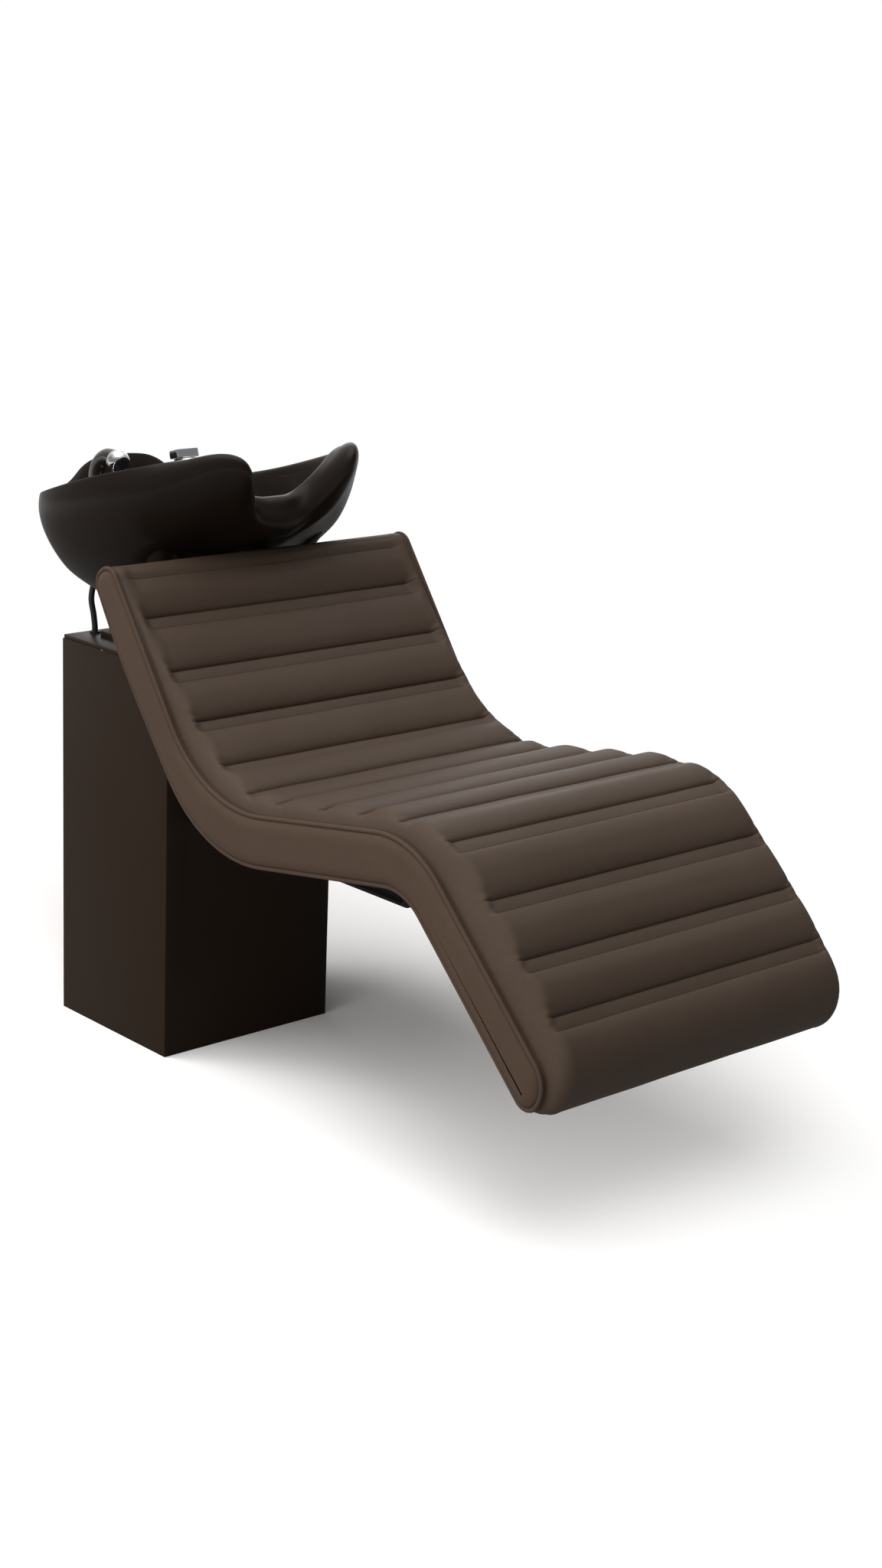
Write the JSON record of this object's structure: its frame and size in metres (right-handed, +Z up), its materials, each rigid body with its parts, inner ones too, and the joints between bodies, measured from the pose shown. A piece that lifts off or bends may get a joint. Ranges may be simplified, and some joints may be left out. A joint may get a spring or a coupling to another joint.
{
  "type": "backwash unit",
  "caption": "Salon shampoo lounger: channelled one-piece lounger cantilevered from a steel column that carries a tilting ceramic basin with mixer and hand shower.",
  "frame": {"origin": "middle of the column's footprint, on the floor", "axes": "+X to the right as the client lies, the mixer's side; -Y to the foot end of the lounger; +Z up"},
  "size_m": [0.604, 1.4128, 1.0086],
  "materials": {
    "upholstery": "taupe coated upholstery cloth with a soft leather-like sheen",
    "plywood": "raw birch plywood",
    "black_steel": "satin black powder coat",
    "column_paint": "satin dark bronze powder coat",
    "bare_steel": "zinc-plated, dull",
    "cast_iron": "primed casting",
    "chrome": "polished",
    "black_plastic": "moulded",
    "grey_plastic": "extruded pipe",
    "black_rubber": "smooth, slightly glossy",
    "braided_hose": "rubber under a fine steel braid",
    "brass": "machined",
    "red_plastic": "moulded",
    "blue_plastic": "moulded",
    "glazed_ceramic": "dark brown, nearly black, soft glaze",
    "bronze_gloss": "dark bronze lacquer",
    "smoked_face": "smoked, glossy"
  },
  "bodies": {
    "unit": {"seat_pad": "upholstery", "border_left": "upholstery", "border_right": "upholstery", "piping_left": "upholstery", "piping_right": "upholstery", "back_panel": "upholstery", "seat_shell": "plywood", "former_left": "plywood", "former_right": "plywood", "mount_board": "plywood", "seat_carrier": "black_steel", "carrier_bolts": "bare_steel", "support_arm": "black_steel", "column_shell": "column_paint", "column_top": "column_paint", "base_plate": "bare_steel", "post": "bare_steel", "ballast_left": "cast_iron", "ballast_right": "cast_iron", "hinge_leaves": "bare_steel", "hinge_pins": "bare_steel", "door_magnets": "black_steel", "trap": "black_plastic", "waste_pipe": "grey_plastic", "waste_hose": "black_rubber", "valve_hot": "brass", "valve_cold": "brass", "hose_hot": "braided_hose", "hose_cold": "braided_hose", "grommet_left": "black_rubber", "grommets_right": "black_rubber", "tilt_stand": "black_steel", "tilt_pins": "bare_steel", "shower_hose": "black_rubber"},
    "door": {"rear_door": "column_paint", "door_pull": "chrome"},
    "basin": {"basin": "glazed_ceramic", "basin_carrier": "black_steel", "basin_pad": "black_rubber", "drain_fitting": "chrome", "drain_nut": "chrome", "shower_sleeve": "chrome", "mixer_body": "chrome", "mixer_nut": "brass"},
    "strainer": {"strainer": "chrome"},
    "shower": {"shower_handle": "bronze_gloss", "shower_head": "chrome", "spray_face": "smoked_face"},
    "mixer_cap": {"mixer_cap": "chrome"},
    "lever": {"mixer_lever": "chrome"},
    "tap_hot": {"handle_hot": "red_plastic"},
    "tap_cold": {"handle_cold": "blue_plastic"}
  },
  "joints": [
    {"name": "door_hinge", "type": "hinge", "parent": "unit", "child": "door", "pos_m": [-0.1435, 0.1535, 0.326], "axis": [0, 0, 1], "range_deg": [0, 110]},
    {"name": "basin_tilt", "type": "hinge", "parent": "unit", "child": "basin", "pos_m": [0, -0.018, 0.695], "axis": [-1, 0, 0], "range_deg": [0, 12], "deforming": ["waste_hose", "hose_hot", "hose_cold", "shower_hose"]},
    {"name": "strainer_lift", "type": "slide", "parent": "basin", "child": "strainer", "axis": [0, 0.2924, 0.9563], "range_m": [0, 0.03]},
    {"name": "shower_pull", "type": "slide", "parent": "basin", "child": "shower", "axis": [0, 0.2924, 0.9563], "range_m": [0, 0.04]},
    {"name": "mixer_turn", "type": "hinge", "parent": "basin", "child": "mixer_cap", "pos_m": [0.098, 0.17751, 0.92547], "axis": [0, 0.2924, 0.9563], "range_deg": [-20, 20]},
    {"name": "lever_lift", "type": "hinge", "parent": "mixer_cap", "child": "lever", "pos_m": [0.098, 0.18558, 0.93136], "axis": [-1, 0, 0], "range_deg": [0, 18]},
    {"name": "tap_hot_turn", "type": "hinge", "parent": "unit", "child": "tap_hot", "pos_m": [-0.042, 0.11, 0.335], "axis": [0, 1, 0], "range_deg": [0, 90]},
    {"name": "tap_cold_turn", "type": "hinge", "parent": "unit", "child": "tap_cold", "pos_m": [0.042, 0.11, 0.335], "axis": [0, 1, 0], "range_deg": [0, 90]}
  ]
}
